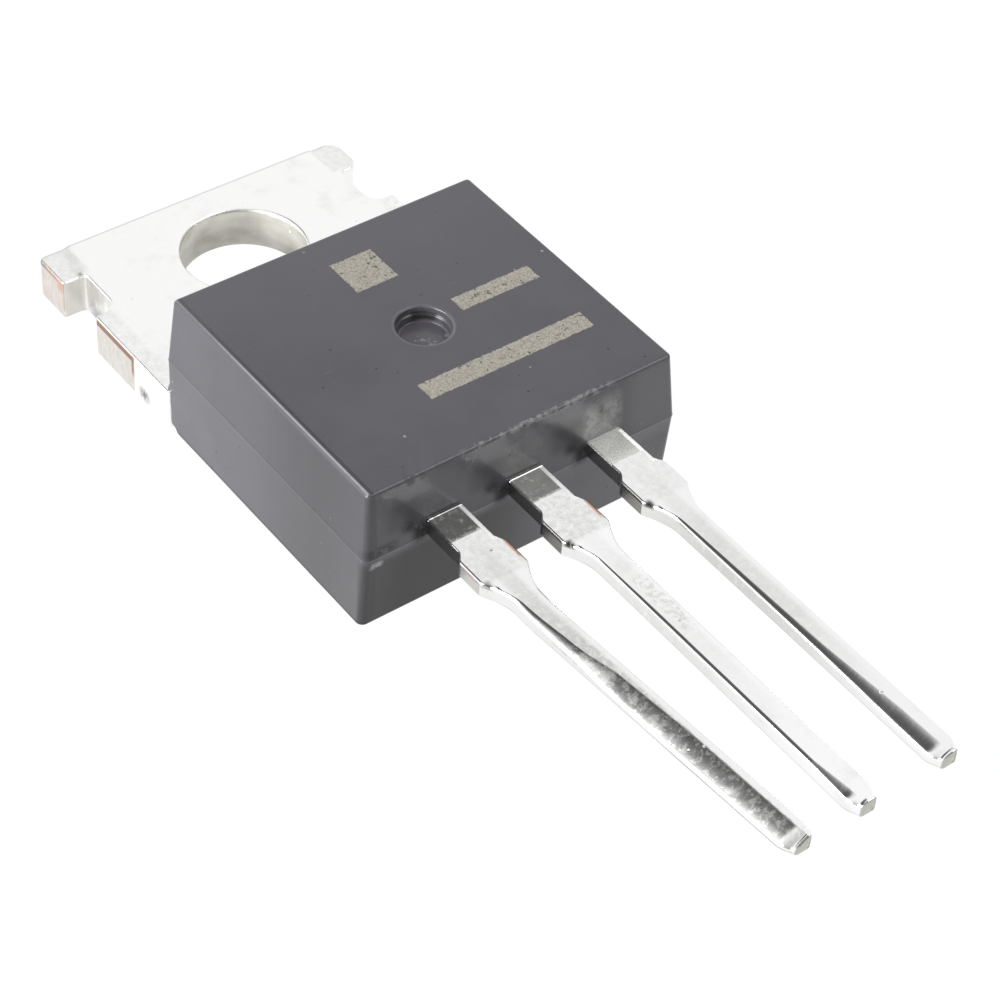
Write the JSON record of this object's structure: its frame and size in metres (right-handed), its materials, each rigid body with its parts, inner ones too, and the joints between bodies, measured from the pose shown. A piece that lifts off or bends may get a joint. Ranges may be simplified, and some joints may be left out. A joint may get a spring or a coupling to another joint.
{
  "type": "voltage regulator",
  "caption": "Linear voltage regulator: black moulded body over a stamped metal tab with a mounting hole, and a row of flat tinned leads, one slightly bent.",
  "frame": {"origin": "centre of the mounting hole on the back face of the tab", "axes": "+Y from the hole to the free end of the tab, with the leads towards -Y; +Z from the back face to the marked top face; +X to the right seen from the top with the tab's end up"},
  "size_m": [0.01, 0.0287, 0.0044],
  "materials": {
    "moulding": "dark grey epoxy moulding, satin, with a fine grain",
    "tab_plating": "matt tin plating over copper, bare copper where the strip was sheared",
    "lead_plating": "bright tin plating over copper, bare copper where the dam bar was cut",
    "silicon": "polished silicon",
    "solder": "dull solder",
    "bond_wire": "drawn aluminium wire"
  },
  "bodies": {
    "root": {"moulded_body": "moulding", "tab_lead_frame": "tab_plating", "input_lead": "lead_plating", "output_lead": "lead_plating", "regulator_chip": "silicon", "chip_solder": "solder", "input_bond_wire": "bond_wire", "output_bond_wire": "bond_wire", "sense_bond_wire": "bond_wire", "ground_bond_wire": "bond_wire"}
  },
  "joints": []
}
